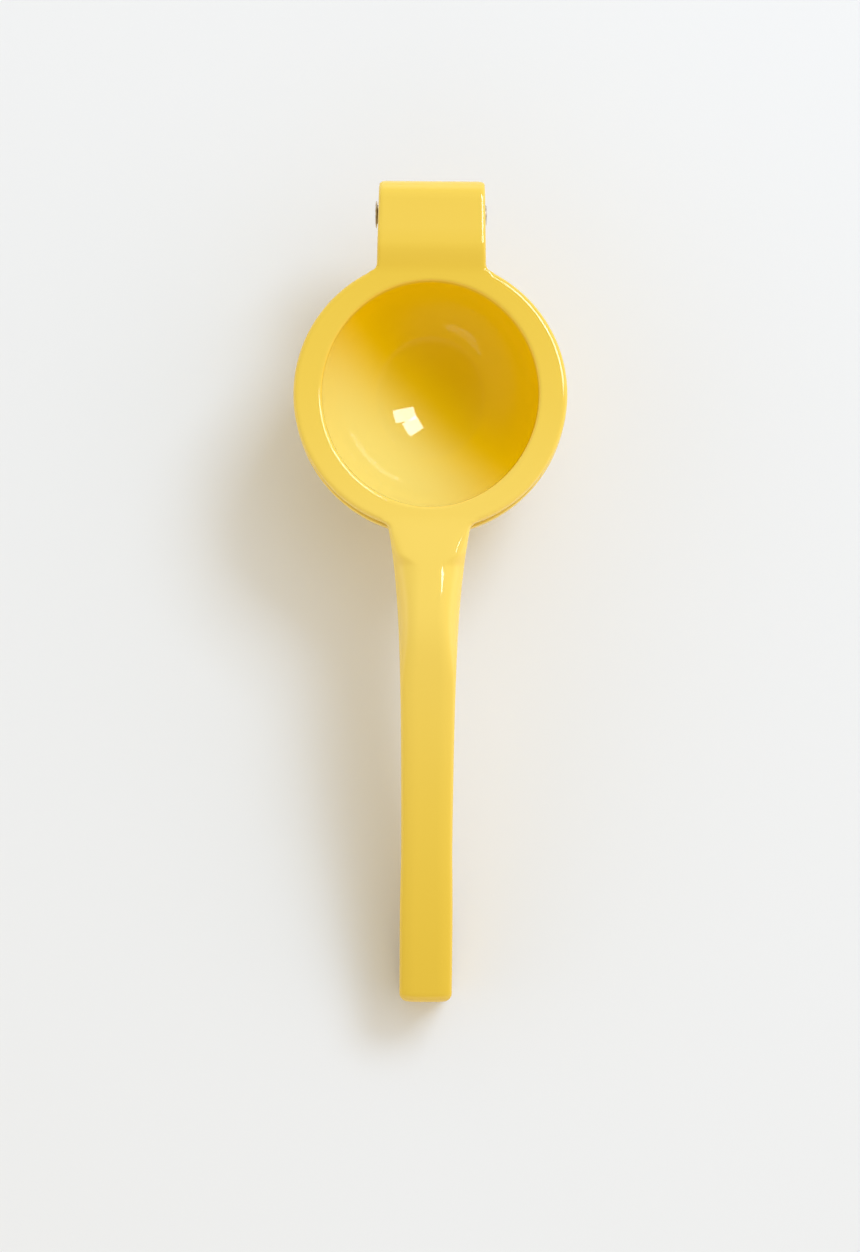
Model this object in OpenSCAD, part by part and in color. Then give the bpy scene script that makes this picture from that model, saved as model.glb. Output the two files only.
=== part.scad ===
// Hinged lemon squeezer: a press arm and a bowl arm, cast in aluminium and enamelled,
// joined by one steel pin and drawn closed, standing on the bowl's foot.
//
// Frame, in millimetres: Z is up and Z = 0 is the table. The origin is under the middle of
// the bowl. The handles run towards -Y, the hinge is at +Y and its pin lies along X.

/* [Press cup] */
// Width of the cup's mouth, across the arm
cup_w = 57.4; // [55:0.2:60]
// How much longer than wide the press cup is, along the arm
cup_draw = 2.6; // [0.2:0.2:3]
// Wall of the press cup
cup_wall = 2.4; // [1.8:0.1:3]
// Thickness of the flat rim round the press cup
rim_t = 4; // [3:0.5:5]
// Rounding of the rim's outer edge and of the cup's lip
rim_round = 1.3; // [0.5:0.1:1.5]
// How far the press rim stands back from the bowl's side
rim_inset = 0.15; // [0:0.05:0.5]

/* [Bowl] */
// Wall of the bowl
bowl_wall = 2.8; // [2:0.1:3.5]
// Thickness of the bowl's floor
floor_t = 2.6; // [2:0.1:4]
// Diameter of the flat foot that the bowl stands on
foot_d = 26; // [20:1:30]
// Space beside the dome, level with the rim
side_gap = 2.5; // [2:0.1:3.5]
// Space for the rind under the dome
rind_gap = 8.3; // [6:0.1:10]
// Gap between the bowl's edge and the press rim when closed
seat_gap = 0.4; // [0.3:0.1:0.8]
// Diameter of one drain hole
drain_d = 3.2; // [2:0.2:3.6]
// Distance from one ring of drain holes to the next
drain_pitch = 5; // [4.5:0.1:5.4]

/* [Handles] */
// Distance from the middle of the cup to the end of the handles
handle_reach = 162; // [150:1:175]
// Width of the handles where they leave the rim
root_w = 21.4; // [20:0.1:24]
// Fillet between the rims and the handles
root_fillet = 2.4; // [0.5:0.1:3]
// Width of the handles at the waist
waist_w = 13.6; // [12:0.1:16]
// Width of the handles near the end
end_w = 14.2; // [12:0.1:17]
// Thickness of the press handle
press_t = 9; // [7:0.5:11]
// Thickness of the bowl handle
bowl_t = 9.4; // [7.5:0.1:11]
// Gap between the two handles when closed
handle_gap = 0.9; // [0.6:0.1:2]
// How far the rim's flat top runs out along the handle
knee_run = 8.4; // [6:0.2:12]
// Height of the worn flat at the tip, where the bowl handle rests
heel_cut = 0.8; // [0.4:0.1:1.5]
// Depth of the relief channel in the facing sides of the handles
relief_depth = 2.4; // [0.5:0.1:3]
// Width of the relief channel at its mouth
relief_w = 6.4; // [4:0.2:7]

/* [Hinge] */
// Diameter of the pin
pin_d = 5; // [4:0.1:6]
// Running clearance round the pin, on the radius
pin_play = 0.05; // [0.02:0.01:0.1]
// Wall of the knuckle round the pin
knuckle_wall = 3.5; // [3:0.1:4.5]
// Gap between the knuckle and the hood that turns round it
pocket_gap = 0.6; // [0.4:0.1:0.9]
// Play between the knuckle and each ear
side_play = 0.4; // [0.2:0.1:0.6]
// Wall of the ears behind the pocket
back_wall = 1.6; // [1.2:0.1:2.5]
// Thickness of the hood's roof over the pocket
roof_t = 2.8; // [2:0.1:4]
// Height of the hood over the press rim
hood_rise = 1.8; // [1:0.1:3]
// Space between the rims and the ears
hinge_gap = 4.5; // [3.5:0.1:7]
// Width of the hinge tab where it leaves the rim
tab_w = 28.8; // [28:0.1:32]
// Width of the hinge tab at its end
tab_end_w = 28; // [26:0.1:28]
// Thickness of one ear at the end of the tab
ear_t = 5.4; // [4:0.1:6.5]
// Rounding of the hood's back edge
hood_round = 5.6; // [3:0.2:6]
// Angle that the arms open to
open_angle = 118; // [100:1:140]

/* [Pin ends] */
// Diameter of the pin's head
head_d = 7.1; // [6.6:0.1:8]
// Thickness of the pin's head
head_t = 0.5; // [0.4:0.1:1.2]
// Gap that the pin's end play leaves under its head
head_gap = 0.4; // [0.2:0.1:0.8]
// Diameter over the riveted end of the pin
tail_d = 5.4; // [5.2:0.1:6.5]
// How far the riveted end stands out of the ear
tail_out = 0.5; // [0.4:0.1:1]

/* [Hidden] */
$fn = 96;

enamel = [0.96, 0.80, 0.24];
steel = [0.72, 0.72, 0.70];
big = 200;

// Radii of the two cups and of the rims over them
cup_r = cup_w / 2;
dome_r = cup_r + cup_wall;
bowl_in_r = dome_r + side_gap;
bowl_r = bowl_in_r + bowl_wall;
rim_r = bowl_r - rim_inset;

// Heights, counted up from the table
floor_z = floor_t;
rim_top = floor_z + rind_gap + cup_wall + cup_r;
rim_under = rim_top - rim_t;
bowl_top = rim_under - seat_gap;
bowl_centre = sqrt(bowl_r * bowl_r - foot_d * foot_d / 4);

// The hinge: everything here is counted from the pin's axis
knuckle_r = pin_d / 2 + pin_play + knuckle_wall;
pocket_r = knuckle_r + pocket_gap;
barrel_r = pocket_r + back_wall;
pin_y = rim_r + hinge_gap + barrel_r;
hood_top = rim_top + hood_rise;
pin_z = hood_top - roof_t - pocket_r;
hood_back = pin_y + barrel_r;
ramp_foot = rim_r - 3.6;
ramp_head = rim_r + 1.5;
knuckle_w = tab_end_w - 2 * ear_t - 2 * side_play;
neck_top = bowl_top - seat_gap;
neck_low = knuckle_r - 0.8;
neck_wide = knuckle_w + 6;
neck_shoulder = pin_y - barrel_r - 0.8;
gusset_drop = 5;
// The hood's back lip meets the underside of the neck just past the open angle
stop_spare = 2;
lip_angle = open_angle + stop_spare - 180 + asin(neck_low / pocket_r);
lip_z = pin_z + pocket_r * sin(lip_angle);
tab_corner = 1.1;

// Half the width of the hinge tab, and where the pin's ends sit on its sides
function tab_half(y) =
    tab_w / 2 + (tab_end_w - tab_w) / 2 * (y - ramp_head) / (hood_back - ramp_head);
head_face = tab_half(pin_y - head_d / 2) + head_gap;
tail_face = tab_half(pin_y - tail_d / 2);

// The handles: u is the distance from the middle of the cup towards the tip
knee_u = rim_r + knee_run;
part_u = rim_r + 1.4;
tip_top = press_t + handle_gap + bowl_t - heel_cut;
knee_bend = 26;
taper_run = 21;
swell_run = 22;
fillet_u = sqrt(pow(rim_r + root_fillet, 2) - pow(root_w / 2 + root_fillet, 2));
thicken_run = 12;
edge_round = 1.2;
tip_round = 2;
relief_start = knee_u + 12;
relief_end = handle_reach - 12;
relief_ramp = 7;
crown_w_root = 2.1;
crown_w = 4.2;
crown_drop_root = 1.2;
crown_drop = 1.5;
root_sunk = 2.5;
stations = 36;
tip_steps = 4;
corner_steps = 6;

// 0 before a, 1 after b, and an even blend between them
function blend(x, a, b) = let (t = min(1, max(0, (x - a) / (b - a)))) t * t * (3 - 2 * t);

// A slope that starts at nothing and bends over to a straight fall
function bent(s) = s <= 0 ? 0 : s - knee_bend * (1 - exp(-s / knee_bend));
fall = (rim_top - tip_top) / bent(handle_reach - knee_u);
function press_over(u) = rim_top - fall * bent(u - knee_u);

// Undersides and facing sides of the two handles
function past(u, run) = 1 - exp(-max(0, u - part_u) / run);
function press_under(u) = press_over(u) - rim_t - (press_t - rim_t) * past(u, thicken_run);
function bowl_over(u) = press_under(u) - seat_gap - (handle_gap - seat_gap) * past(u, thicken_run / 2);
function bowl_under(u) = max(0, bowl_over(u) - bowl_t);

// Half the width of both handles
function half_w(u) =
    let (out = max(0, u - rim_r), short = min(root_fillet, max(0, fillet_u - u)))
    waist_w / 2
    + (root_w - waist_w) / 2 * exp(-out / taper_run)
    + (end_w - waist_w) / 2 * blend(u, handle_reach - 2 * swell_run, handle_reach - swell_run)
    + root_fillet - sqrt(root_fillet * root_fillet - short * short);

// One cross-section: outer face zo crowned, facing side zi flat with its relief channel
function loop(u, zo, zi, inset) =
    let (
        s = zo > zi ? 1 : -1,
        w = half_w(u) - inset,
        o = zo - s * inset,
        i = zi + s * inset,
        k = blend(u, rim_r, knee_u + 6),
        a = crown_w_root + (crown_w - crown_w_root) * k,
        b = crown_drop_root + (crown_drop - crown_drop_root) * k,
        r = edge_round,
        d = relief_depth
            * blend(u, relief_start, relief_start + relief_ramp)
            * (1 - blend(u, relief_end - relief_ramp, relief_end)),
        g = relief_w / 2,
        step = 90 / corner_steps
    )
    [
        for (t = [0 : step : 90]) [w - a + a * cos(t), o - s * b + s * b * sin(t)],
        for (t = [90 : -step : 0]) [-(w - a + a * cos(t)), o - s * b + s * b * sin(t)],
        for (t = [0 : 2 * step : 90]) [-(w - r + r * cos(t)), i + s * r - s * r * sin(t)],
        [-g, i],
        [-g + d / 3, i + s * d],
        [g - d / 3, i + s * d],
        [g, i],
        for (t = [90 : -2 * step : 0]) [w - r + r * cos(t), i + s * r - s * r * sin(t)]
    ];

// A solid skinned over a list of closed loops of 3-D points
module skin(rings, inward) {
    n = len(rings[0]);
    m = len(rings);
    points = [for (ring = rings) for (p = ring) p];
    sides = [
        for (j = [0 : m - 2]) for (i = [0 : n - 1])
            let (a = j * n + i, b = j * n + (i + 1) % n)
            each [[a, b + n, b], [a, a + n, b + n]]
    ];
    caps = [[for (i = [0 : n - 1]) i], [for (i = [n - 1 : -1 : 0]) (m - 1) * n + i]];
    faces = concat(sides, caps);
    polyhedron(points, inward ? [for (f = faces) [for (i = [len(f) - 1 : -1 : 0]) f[i]]] : faces);
}

// Distances along the handle, closer together near the root, and the rounded tip
function stations_from(u0) =
    let (end = handle_reach - tip_round)
    concat(
        [for (i = [0 : stations]) [u0 + (end - u0) * pow(i / stations, 1.4), 0]],
        [
            for (i = [1 : tip_steps])
                let (t = 90 * i / tip_steps)
                [end + tip_round * sin(t), tip_round * (1 - cos(t))]
        ]
    );

module press_handle() {
    skin([
        for (p = stations_from(rim_r - root_sunk))
            [for (q = loop(p[0], press_over(p[0]), press_under(p[0]), p[1])) [q[0], -p[0], q[1]]]
    ], false);
}

module bowl_handle() {
    skin([
        for (p = stations_from(bowl_r - bowl_wall / 2))
            [for (q = loop(p[0], bowl_under(p[0]), bowl_over(p[0]), p[1])) [q[0], -p[0], q[1]]]
    ], true);
}

// A turned shape drawn out along Y: two half turns with a straight length between them
module drawn() {
    for (side = [0, 180]) {
        rotate([0, 0, side]) translate([0, cup_draw / 2, 0]) rotate_extrude(angle = 180) children();
    }
    rotate([90, 0, 0]) linear_extrude(cup_draw, center = true) {
        children();
        mirror([1, 0]) children();
    }
}

// Section of the press cup's dome, from inside the rim down
module dome_section() {
    intersection() {
        translate([0, rim_top]) circle(dome_r);
        square([big, rim_under + rim_t / 4]);
    }
}

// Section of the hollow in the press cup
module cup_section() {
    intersection() {
        translate([0, rim_top]) circle(cup_r);
        square([big, big]);
    }
}

// Section of the cut that rounds the cup's lip
module lip_section() {
    mouth_r = sqrt(cup_r * cup_r - rim_round * rim_round);
    polygon([
        [0, rim_top - rim_round],
        for (t = [0 : 15 : 90])
            [mouth_r + rim_round - rim_round * cos(t), rim_top - rim_round + rim_round * sin(t)],
        [mouth_r + rim_round, rim_top + 1],
        [0, rim_top + 1]
    ]);
}

module rim_section() {
    square([rim_r - rim_round, rim_t]);
    square([rim_r, rim_t - rim_round]);
    translate([rim_r - rim_round, rim_t - rim_round]) circle(rim_round);
}

// Section of the bowl's outside: a ball cut flat for the foot and again for the edge
module bowl_section() {
    intersection() {
        translate([0, bowl_centre]) circle(bowl_r);
        square([big, bowl_top]);
    }
}

// Section of the bowl's hollow
module hollow_section() {
    intersection() {
        translate([0, bowl_centre]) circle(bowl_in_r);
        translate([0, floor_z]) square([big, big]);
    }
}

// Plan of the hinge tab, tapering to its end
module tab_plan() {
    c = tab_corner;
    polygon([
        [-tab_w / 2, 0], [tab_w / 2, 0],
        [tab_w / 2, ramp_head],
        for (t = [0 : 15 : 90]) [tab_end_w / 2 - c + c * cos(t), hood_back - c + c * sin(t)],
        for (t = [90 : 15 : 180]) [-tab_end_w / 2 + c + c * cos(t), hood_back - c + c * sin(t)],
        [-tab_w / 2, ramp_head]
    ]);
}

// Side view of the hinge tab: rim, ramp, hood and the round ears under it
module tab_profile() {
    polygon([
        [cup_r / 2, rim_under], [pin_y, rim_under], [pin_y, hood_top],
        [ramp_head, hood_top], [ramp_foot, rim_top], [cup_r / 2, rim_top]
    ]);
    translate([pin_y - barrel_r, pin_z]) {
        square([2 * barrel_r, hood_top - pin_z - hood_round]);
        square([2 * barrel_r - hood_round, hood_top - pin_z]);
    }
    translate([hood_back - hood_round, hood_top - hood_round]) circle(hood_round);
    translate([pin_y, pin_z]) circle(barrel_r);
}

// Runs a YZ section along X, centred
module along_x(width) {
    rotate([90, 0, 90]) linear_extrude(width, center = true) children();
}

module pin_bore(width) {
    translate([0, pin_y, pin_z]) rotate([0, 90, 0])
        cylinder(r = pin_d / 2 + pin_play, h = width, center = true);
}

// Room in the hood for the knuckle, open below and behind
module pocket() {
    width = knuckle_w + 2 * side_play;
    translate([0, pin_y, pin_z]) rotate([0, 90, 0]) cylinder(r = pocket_r, h = width, center = true);
    depth = barrel_r + 1;
    translate([-width / 2, pin_y - depth, pin_z - depth]) cube([width, 2 * depth, lip_z - pin_z + depth]);
    translate([-width / 2, pin_y - depth, pin_z - depth]) cube([width, depth, rim_under - pin_z + depth]);
}

module press_arm() {
    color(enamel) difference() {
        union() {
            translate([0, 0, rim_under]) rotate_extrude() rim_section();
            drawn() dome_section();
            press_handle();
            intersection() {
                linear_extrude(big) tab_plan();
                along_x(2 * tab_w) tab_profile();
            }
        }
        drawn() cup_section();
        drawn() lip_section();
        pocket();
        pin_bore(2 * tab_w);
    }
}

// Side view of the neck between the bowl and the knuckle
module neck_profile() {
    polygon([
        [bowl_in_r, neck_top], [pin_y, neck_top], [pin_y, pin_z - neck_low],
        [neck_shoulder, pin_z - neck_low], [bowl_in_r, pin_z - neck_low - gusset_drop]
    ]);
}

module neck_plan() {
    polygon([
        [-neck_wide / 2, 0], [neck_wide / 2, 0], [neck_wide / 2, rim_r],
        [knuckle_w / 2, neck_shoulder], [knuckle_w / 2, hood_back],
        [-knuckle_w / 2, hood_back], [-knuckle_w / 2, neck_shoulder], [-neck_wide / 2, rim_r]
    ]);
}

// Two rings of drain holes round a solid middle
module drains() {
    for (ring = [1, 2]) for (i = [1 : 6 * ring]) {
        rotate([0, 0, 60 * i / ring]) translate([ring * drain_pitch, 0, -1])
            cylinder(d = drain_d, h = floor_t + rind_gap);
    }
}

module bowl_arm() {
    color(enamel) difference() {
        union() {
            rotate_extrude() bowl_section();
            bowl_handle();
            intersection() {
                linear_extrude(big) neck_plan();
                along_x(2 * neck_wide) neck_profile();
            }
            translate([0, pin_y, pin_z]) rotate([0, 90, 0])
                cylinder(r = knuckle_r, h = knuckle_w, center = true);
        }
        rotate_extrude() hollow_section();
        drains();
        pin_bore(2 * knuckle_w);
    }
}

// A rivet: flat head on the left, riveted over on the right
module hinge_pin() {
    color(steel) translate([0, pin_y, pin_z]) rotate([0, 90, 0]) rotate_extrude() polygon([
        [0, -head_face - head_t], [head_d / 2, -head_face - head_t],
        [head_d / 2, -head_face], [pin_d / 2, -head_face],
        [pin_d / 2, tail_face], [tail_d / 2, tail_face],
        [tail_d / 2, tail_face + tail_out], [0, tail_face + tail_out]
    ]);
}

press_arm();
bowl_arm();
hinge_pin();
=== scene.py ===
# %% [markdown]
# # A hinged lemon squeezer, enamelled yellow
#
# The real tool is three pieces: an upper casting with the rim, the hollow dome and one handle,
# a lower casting with the drained bowl and the other handle, and a steel rivet that joins them.
# The construction model already has them at their real size, and its hinge turns. What it lacks
# is the look of a casting under enamel: nothing on the real tool has a sharp edge, and every
# joint between two forms is a soft hollow. This lesson makes that look.

# %% Load the construction and keep its box
import math

import bmesh
import bpy
from mathutils import Matrix, Vector


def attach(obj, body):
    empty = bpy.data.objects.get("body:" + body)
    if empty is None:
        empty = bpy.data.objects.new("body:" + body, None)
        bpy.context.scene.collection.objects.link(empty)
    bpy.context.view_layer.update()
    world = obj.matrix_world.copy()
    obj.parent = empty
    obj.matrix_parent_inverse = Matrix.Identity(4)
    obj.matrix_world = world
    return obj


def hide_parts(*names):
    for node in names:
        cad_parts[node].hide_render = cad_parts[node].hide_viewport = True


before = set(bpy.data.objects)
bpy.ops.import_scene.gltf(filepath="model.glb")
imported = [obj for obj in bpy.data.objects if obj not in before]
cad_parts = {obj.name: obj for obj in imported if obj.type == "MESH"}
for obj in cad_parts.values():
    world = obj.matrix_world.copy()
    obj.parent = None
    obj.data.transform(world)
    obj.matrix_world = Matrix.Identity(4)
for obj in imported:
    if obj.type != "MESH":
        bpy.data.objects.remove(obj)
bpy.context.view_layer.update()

print("construction nodes:", sorted(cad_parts))

# %% [markdown]
# ## Sizes
#
# A dressed piece has to lie where the construction piece lies, because the joint and the
# collision belong to the construction. So the lesson names the same sizes, in millimetres, and
# works out the rest from them in the same way. Only the last helper turns millimetres to metres.

# %% Sizes shared with the construction
MM = 0.001
cup_w, cup_draw, cup_wall = 57.4, 2.6, 2.4
side_gap, bowl_wall, rim_inset = 2.5, 2.8, 0.15
cup_r = cup_w / 2
dome_r = cup_r + cup_wall
bowl_in_r = dome_r + side_gap
bowl_r = bowl_in_r + bowl_wall
rim_r = bowl_r - rim_inset

floor_z, rind_gap, rim_t, seat_gap = 2.6, 8.3, 4.0, 0.4
rim_round, foot_r = 1.3, 13.0
rim_top = floor_z + rind_gap + dome_r
rim_under = rim_top - rim_t
bowl_top = rim_under - seat_gap
bowl_centre = math.sqrt(bowl_r**2 - foot_r**2)
print("rim radius", round(rim_r, 2), "rim top", rim_top, "bowl edge", bowl_top)

# %% Sizes of the hinge
knuckle_r, knuckle_w, pocket_gap, back_wall = 6.05, 16.4, 0.6, 1.6
hinge_gap, hood_rise, roof_t, hood_round = 4.5, 1.8, 2.8, 5.6
tab_w, tab_end_w = 28.8, 28.0
pocket_r = knuckle_r + pocket_gap
barrel_r = pocket_r + back_wall
pin_y = rim_r + hinge_gap + barrel_r
hood_top = rim_top + hood_rise
pin_z = hood_top - roof_t - pocket_r
hood_back = pin_y + barrel_r
ramp_foot = rim_r - 3.6
ramp_head = rim_r + 1.5
print("pin axis at y, z:", round(pin_y, 3), round(pin_z, 3))

# %% [markdown]
# ## Tools for forms
#
# The forms are of two kinds. The cup, the bowl and the pin are turned: one section goes round
# an axis. The handles, the hinge tab and the neck are lofted: one section changes as it travels.
# A screw modifier or a curve with a bevel could make them, but a section that changes with the
# angle or the distance needs its points set one by one, so both tools are written in bmesh.

# %% Make a piece from points and faces
def piece_from(name, points, faces):
    """A new object from points in millimetres, with its faces turned outward."""
    mesh = bpy.data.meshes.new(name)
    mesh.from_pydata([[c * MM for c in p] for p in points], [], faces)
    bm = bmesh.new()
    bm.from_mesh(mesh)
    bmesh.ops.recalc_face_normals(bm, faces=bm.faces)
    bm.to_mesh(mesh)
    bm.free()
    obj = bpy.data.objects.new(name, mesh)
    bpy.context.scene.collection.objects.link(obj)
    return obj


# %% Turn a section round an axis
def round_z(r, t, z):
    return (r * math.cos(t), r * math.sin(t), z)


def turned(name, section, steps=192, place=round_z):
    """Turns (r, z) points round an axis. Points on the axis become single poles."""
    points, rows = [], []
    for r, z in section:
        if r < 1e-6:
            rows.append([len(points)] * steps)
            points.append(place(0, 0, z))
        else:
            rows.append(list(range(len(points), len(points) + steps)))
            points += [place(r, 2 * math.pi * k / steps, z) for k in range(steps)]
    faces = []
    for a, b in zip(rows, rows[1:]):
        for k in range(steps):
            j = (k + 1) % steps
            ring = [a[k], a[j], b[j], b[k]]
            faces.append([v for i, v in enumerate(ring) if v not in ring[:i]])
    return piece_from(name, points, [f for f in faces if len(f) > 2])


# %% Loft closed loops into a solid
def lofted(name, loops):
    """Skins closed loops of equal length and caps both ends."""
    n = len(loops[0])
    faces = []
    for j in range(len(loops) - 1):
        for i in range(n):
            k = (i + 1) % n
            faces.append([j * n + i, j * n + k, (j + 1) * n + k, (j + 1) * n + i])
    faces.append(list(range(n)))
    faces.append([(len(loops) - 1) * n + i for i in range(n)])
    return piece_from(name, [p for loop in loops for p in loop], faces)


# %% Arcs, used by every section
def arc(centre, radius, start, stop, step_mm=0.7):
    """Points on an arc, in degrees, about step_mm apart, both ends included."""
    count = max(3, int(abs(math.radians(stop - start)) * radius / step_mm) + 1)
    angles = [math.radians(start + (stop - start) * i / count) for i in range(count + 1)]
    return [(centre[0] + radius * math.cos(a), centre[1] + radius * math.sin(a)) for a in angles]


# %% [markdown]
# ## Cutting and casting
#
# A bore, a pocket or a drain hole is one solid taken out of another, which the boolean modifier
# does exactly. Joining the forms is another matter. A boolean union leaves a hard crease where
# the handle meets the rim, and a bevel can't follow such a crease. The real casting is poured
# in one go and then coated, so its forms run into each other. The remesh modifier in voxel
# mode does the same to the mesh: overlapping shells become one skin, and a few rounds of
# smoothing draw every edge and every inner corner round, like the coat.
#
# A swell that is too soft for a section of its own is given to the finished skin: a function of
# the place says how far each point moves up or down. The skin comes out with far more faces than
# its flat stretches need, so the decimate modifier thins it at the end.

# %% Bake the modifiers of a piece into its mesh
def settle(obj):
    """Replaces the mesh by what the modifiers make of it."""
    graph = bpy.context.evaluated_depsgraph_get()
    old, made = obj.data, bpy.data.meshes.new_from_object(obj.evaluated_get(graph))
    obj.modifiers.clear()
    obj.data = made
    made.name = obj.name
    bpy.data.meshes.remove(old)


def discard(obj):
    mesh = obj.data
    bpy.data.objects.remove(obj)
    bpy.data.meshes.remove(mesh)


# %% Cut one solid out of another
def cut(obj, *tools):
    """Takes the tools out of the piece and throws them away."""
    for tool in tools:
        step = obj.modifiers.new("cut", "BOOLEAN")
        step.operation, step.solver, step.object = "DIFFERENCE", "EXACT", tool
    settle(obj)
    for tool in tools:
        discard(tool)


# %% Cast forms into one skin
def triangles(obj):
    return sum(len(face.vertices) - 2 for face in obj.data.polygons)


def cast(name, forms, swell=None, voxel_mm=0.33, rounds=7, faces=190000):
    """Joins overlapping shells into one smooth casting and throws the forms away.

    swell(x, y, z), in millimetres, says how far a point of the skin is raised.
    """
    bm = bmesh.new()
    for form in forms:
        bm.from_mesh(form.data)
        discard(form)
    mesh = bpy.data.meshes.new(name)
    bm.to_mesh(mesh)
    bm.free()
    obj = bpy.data.objects.new(name, mesh)
    bpy.context.scene.collection.objects.link(obj)
    skin = obj.modifiers.new("skin", "REMESH")
    skin.mode, skin.voxel_size, skin.use_smooth_shade = "VOXEL", voxel_mm * MM, True
    coat = obj.modifiers.new("coat", "SMOOTH")
    coat.factor, coat.iterations = 0.5, rounds  # each round takes a point half of the way
    settle(obj)
    if swell:
        for vertex in obj.data.vertices:
            vertex.co.z += swell(*(c / MM for c in vertex.co)) * MM
    fine = triangles(obj)
    spare = obj.modifiers.new("spare", "DECIMATE")
    spare.ratio = min(1.0, faces / fine)
    settle(obj)
    for face in obj.data.polygons:
        face.use_smooth = True
    print(name, "has", fine, "triangles, and keeps", triangles(obj))
    return obj


# %% [markdown]
# ## The handles' lines
#
# Seen from above, both handles leave the rim wide, draw in to a waist and swell a little before
# the tip. Seen from the side, the upper one runs level with the rim as far as the knee, then
# bends over into a straight fall, and the lower one follows it. A spline with a few control
# points could hold these lines. Plain functions of the distance u from the cup's middle hold
# them as well, and they are the ones that the construction uses, so both stay in step.

# %% Lines shared by the two handles
handle_reach = 162.0
press_t, bowl_t, handle_gap = 9.0, 9.4, 0.9
root_w, waist_w, end_w = 21.4, 13.6, 14.2
root_fillet = 2.4
fillet_u = math.sqrt((rim_r + root_fillet) ** 2 - (root_w / 2 + root_fillet) ** 2)
knee_u = rim_r + 8.4
part_u = rim_r + 1.4
tip_top = press_t + handle_gap + bowl_t - 0.8
tip_round = 2.6
bend_run, taper_run, swell_run, thicken_run = 26, 21, 22, 12
skin_in = 0.03  # the skin stays this far inside the construction's box


def blend(x, a, b):
    t = min(1.0, max(0.0, (x - a) / (b - a)))
    return t * t * (3 - 2 * t)


def fillet_out(short, radius):
    """How far a fillet of this radius stands out, short of the place where it ends."""
    short = min(radius, max(0.0, short))
    return radius - math.sqrt(radius * radius - short * short)


def bent(s):
    """A slope that starts at nothing and bends over to a straight fall."""
    return 0.0 if s <= 0 else s - bend_run * (1 - math.exp(-s / bend_run))


def press_over(u):
    fall = (rim_top - tip_top) / bent(handle_reach - knee_u)
    return rim_top - fall * bent(u - knee_u)


def past(u, run):
    """0 up to the place where the handles part, and close to 1 well past it."""
    return 1 - math.exp(-max(0.0, u - part_u) / run)


def press_under(u):
    return press_over(u) - rim_t - (press_t - rim_t) * past(u, thicken_run)


def bowl_over(u):
    return press_under(u) - seat_gap - (handle_gap - seat_gap) * past(u, thicken_run / 2)


def bowl_under(u):
    return max(0.0, bowl_over(u) - bowl_t)


def half_w(u):
    out = max(0.0, u - rim_r)
    taper = (root_w - waist_w) / 2 * math.exp(-out / taper_run)
    swell = blend(u, handle_reach - 2 * swell_run, handle_reach - swell_run)
    width = waist_w / 2 + taper + (end_w - waist_w) / 2 * swell
    return width + fillet_out(fillet_u - u, root_fillet)


print("handle tip: top at", round(press_over(handle_reach), 2))
print("handle tip: underside at", round(bowl_under(handle_reach), 2))

# %% [markdown]
# ## One handle section
#
# Across the handle, the outer face is flat in the middle and falls off at both sides in a
# quarter of an ellipse. Near the rim that shoulder is narrow, so the flat runs out of the rim
# at almost the handle's full width, and round the knee the shoulder widens. The facing side is
# flat, with a relief channel that saves metal.

# %% Shoulders, channel and the loop round the section
channel_ends, channel_ramp = 12, 7
channel_deep, channel_half = 2.4, 3.2
edge_round = 1.2


def shoulder_w(u):
    return 1.3 + 1.5 * blend(u, rim_r, knee_u - 2) + 1.6 * blend(u, knee_u - 3, knee_u + 3)


def shoulder_h(u):
    return 1.2 + 0.3 * blend(u, rim_r, knee_u + 6)


def channel_depth(u):
    start, end = knee_u + channel_ends, handle_reach - channel_ends
    into, out_of = blend(u, start, start + channel_ramp), blend(u, end - channel_ramp, end)
    return channel_deep * into * (1 - out_of)


def handle_loop(u, outer, facing, inset=0.0):
    """Closed loop of (x, -u, z) points round the handle at the distance u."""
    s = 1 if outer > facing else -1
    w, o, f = half_w(u) - inset, outer - s * inset, facing + s * inset
    a, b, r = shoulder_w(u), shoulder_h(u), edge_round
    d, g = channel_depth(u), channel_half
    quarter = [math.radians(90 * i / 12) for i in range(13)]
    right = [(w - a + a * math.cos(t), o - s * b + s * b * math.sin(t)) for t in quarter]
    crown = [((w - a) * (1 - i / 8), o) for i in range(1, 16)]
    left = [(-x, z) for x, z in reversed(right)]
    edge = [(-(w - r + r * math.cos(t)), f + s * r * (1 - math.sin(t))) for t in quarter[::2]]
    wall = [(g + 0.5, f), (g, f), (g - d / 3, f + s * d)]
    channel = [(-x, z) for x, z in wall] + wall[::-1]
    back = [(-x, z) for x, z in reversed(edge)]
    return [(x, -u, z) for x, z in right + crown + left + edge + channel + back]


# %% Stations from the root to the rounded tip
def handle_form(name, root, outer, facing):
    """Stations 0.25 mm apart over the fillet, then wider and wider, then the rounded tip."""
    end = handle_reach - skin_in - tip_round
    near = [root + 0.25 * i for i in range(int((fillet_u + 0.3 - root) / 0.25) + 1)]
    count = 100
    far = [near[-1] + (end - near[-1]) * (i / count) ** 1.2 for i in range(1, count + 1)]
    loops = [handle_loop(u, outer(u), facing(u)) for u in near + far]
    for i in range(1, 7):
        t = math.radians(90 * i / 6)
        u = end + tip_round * math.sin(t)
        loops.append(handle_loop(u, outer(u), facing(u), tip_round * (1 - math.cos(t))))
    return lofted(name, loops)


press_handle = handle_form("press_handle", rim_r - 2.5, press_over, press_under)
bowl_handle = handle_form("bowl_handle", bowl_r - 1.4, bowl_under, bowl_over)
print("points of the upper handle:", len(press_handle.data.vertices))

# %% [markdown]
# ## The press cup
#
# The press cup is the hollow back of the dome that turns the lemon half inside out: a shell of
# even wall with a flat rim round its mouth. One section holds all of it, from the dome's lowest
# point out to the rim, over its rounded edge and back down into the hollow. The hollow is a
# little longer than wide and the rim is round, so the turning stretches only the inner points.

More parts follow.
